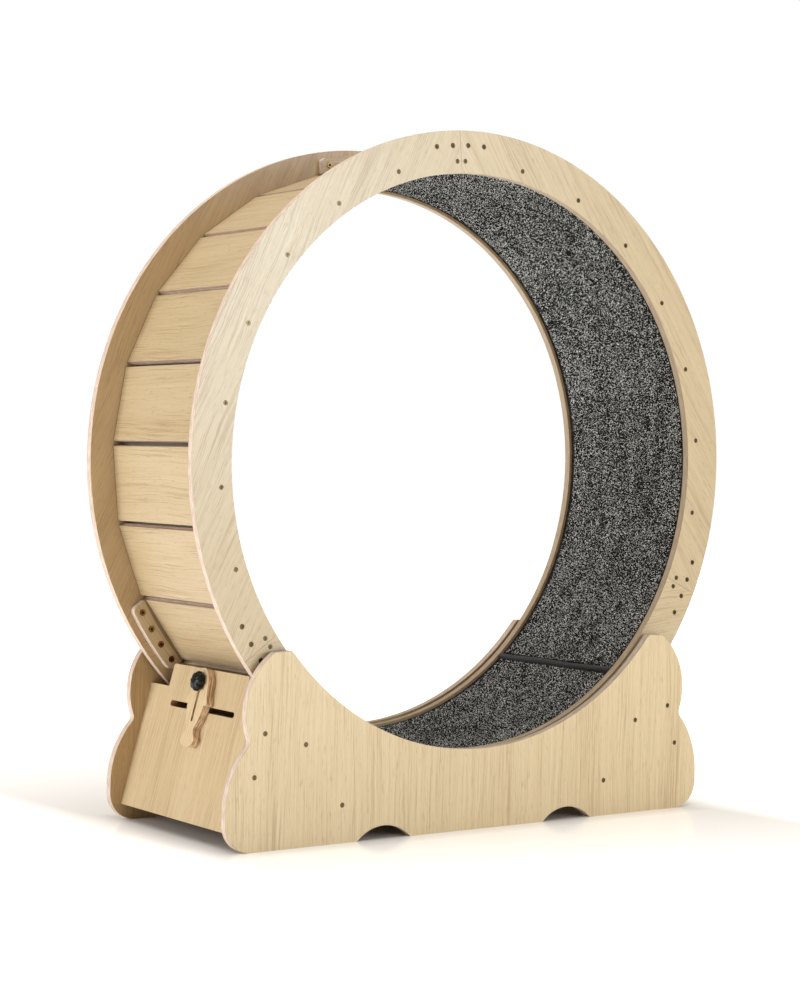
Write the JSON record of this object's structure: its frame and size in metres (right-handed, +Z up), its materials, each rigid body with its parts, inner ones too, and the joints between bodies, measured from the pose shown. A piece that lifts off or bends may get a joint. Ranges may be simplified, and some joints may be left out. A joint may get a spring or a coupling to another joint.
{
  "type": "cat exercise wheel",
  "caption": "Free-standing wooden running wheel for a cat: slatted, carpet-lined drum between two flat rings, turning on grooved rollers in a low base with a sliding lock.",
  "frame": {"origin": "on the floor, under the middle of the base", "axes": "+X to the right along the base, away from the lock; +Y along the wheel's axis; +Z up"},
  "size_m": [0.9999, 0.3486, 1.0562],
  "materials": {
    "ring_board": "light oak-effect board, satin",
    "slat_board": "light oak-effect board, satin, grain along the slat",
    "side_board": "light oak-effect board, satin, grain upright",
    "end_board": "light oak-effect board, satin, grain up the slope",
    "lock_board": "light oak-effect board with a tan edge",
    "carpet_pile": "dark grey loop pile with lighter flecks",
    "carpet_edge": "dark woven edge binding",
    "nylon": "natural white nylon",
    "zinc_steel": "zinc-plated steel",
    "screw_steel": "yellow zinc-plated steel",
    "black_steel": "black oxide",
    "brass_fitting": "dull coppery plating",
    "knob_plastic": "black moulded plastic"
  },
  "bodies": {
    "base": {"side_panel_near": "side_board", "side_panel_far": "side_board", "side_screws": "screw_steel", "end_panel_left": "end_board", "end_panel_right": "end_board", "roller_board_left": "end_board", "roller_board_right": "end_board", "bracket_left_near": "zinc_steel", "bracket_left_far": "zinc_steel", "bracket_right_near": "zinc_steel", "bracket_right_far": "zinc_steel", "roller_axles": "zinc_steel", "axle_nuts": "zinc_steel", "axle_sleeves": "zinc_steel", "bracket_screws": "zinc_steel", "lock_insert": "brass_fitting"},
    "wheel": {"ring_near_1": "ring_board", "ring_near_2": "ring_board", "ring_near_3": "ring_board", "ring_far_1": "ring_board", "ring_far_2": "ring_board", "ring_far_3": "ring_board", "slat_01": "slat_board", "slat_02": "slat_board", "slat_03": "slat_board", "slat_04": "slat_board", "slat_05": "slat_board", "slat_06": "slat_board", "slat_07": "slat_board", "slat_08": "slat_board", "slat_09": "slat_board", "slat_10": "slat_board", "slat_11": "slat_board", "slat_12": "slat_board", "slat_13": "slat_board", "slat_14": "slat_board", "slat_15": "slat_board", "slat_16": "slat_board", "slat_17": "slat_board", "slat_18": "slat_board", "slat_19": "slat_board", "slat_20": "slat_board", "slat_21": "slat_board", "slat_22": "slat_board", "slat_23": "slat_board", "slat_24": "slat_board", "joint_plates_near": "ring_board", "joint_plates_far": "ring_board", "joint_bolts": "black_steel", "joint_nuts": "brass_fitting", "slat_screws": "screw_steel", "carpet": "carpet_pile", "carpet_binding": "carpet_edge"},
    "roller_left_near": {"roller_left_near": "nylon"},
    "roller_left_far": {"roller_left_far": "nylon"},
    "roller_right_near": {"roller_right_near": "nylon"},
    "roller_right_far": {"roller_right_far": "nylon"},
    "lock_plate": {"lock_plate": "lock_board"},
    "lock_knob": {"lock_knob": "knob_plastic", "lock_washer": "black_steel"}
  },
  "joints": [
    {"name": "wheel_spin", "type": "hinge", "parent": "base", "child": "wheel", "pos_m": [0, 0, 0.5563], "axis": [0, 1, 0], "continuous": true},
    {"name": "roller_left_near_spin", "type": "hinge", "parent": "base", "child": "roller_left_near", "pos_m": [-0.24509, -0.1495, 0.10302], "axis": [0, 1, 0], "continuous": true},
    {"name": "roller_left_far_spin", "type": "hinge", "parent": "base", "child": "roller_left_far", "pos_m": [-0.24509, 0.1495, 0.10302], "axis": [0, 1, 0], "continuous": true},
    {"name": "roller_right_near_spin", "type": "hinge", "parent": "base", "child": "roller_right_near", "pos_m": [0.24509, -0.1495, 0.10302], "axis": [0, 1, 0], "continuous": true},
    {"name": "roller_right_far_spin", "type": "hinge", "parent": "base", "child": "roller_right_far", "pos_m": [0.24509, 0.1495, 0.10302], "axis": [0, 1, 0], "continuous": true},
    {"name": "lock_slide", "type": "slide", "parent": "base", "child": "lock_plate", "axis": [0.2664, 0, 0.9639], "range_m": [0, 0.0299]},
    {"name": "knob_turn", "type": "hinge", "parent": "base", "child": "lock_knob", "pos_m": [-0.37569, 0, 0.22125], "axis": [-0.9639, 0, 0.2664], "range_deg": [0, 360]}
  ],
  "couplings": [
    {"joint": "roller_left_near_spin", "follows": "wheel_spin", "ratio": -33.333},
    {"joint": "roller_left_far_spin", "follows": "wheel_spin", "ratio": -33.333},
    {"joint": "roller_right_near_spin", "follows": "wheel_spin", "ratio": -33.333},
    {"joint": "roller_right_far_spin", "follows": "wheel_spin", "ratio": -33.333}
  ]
}
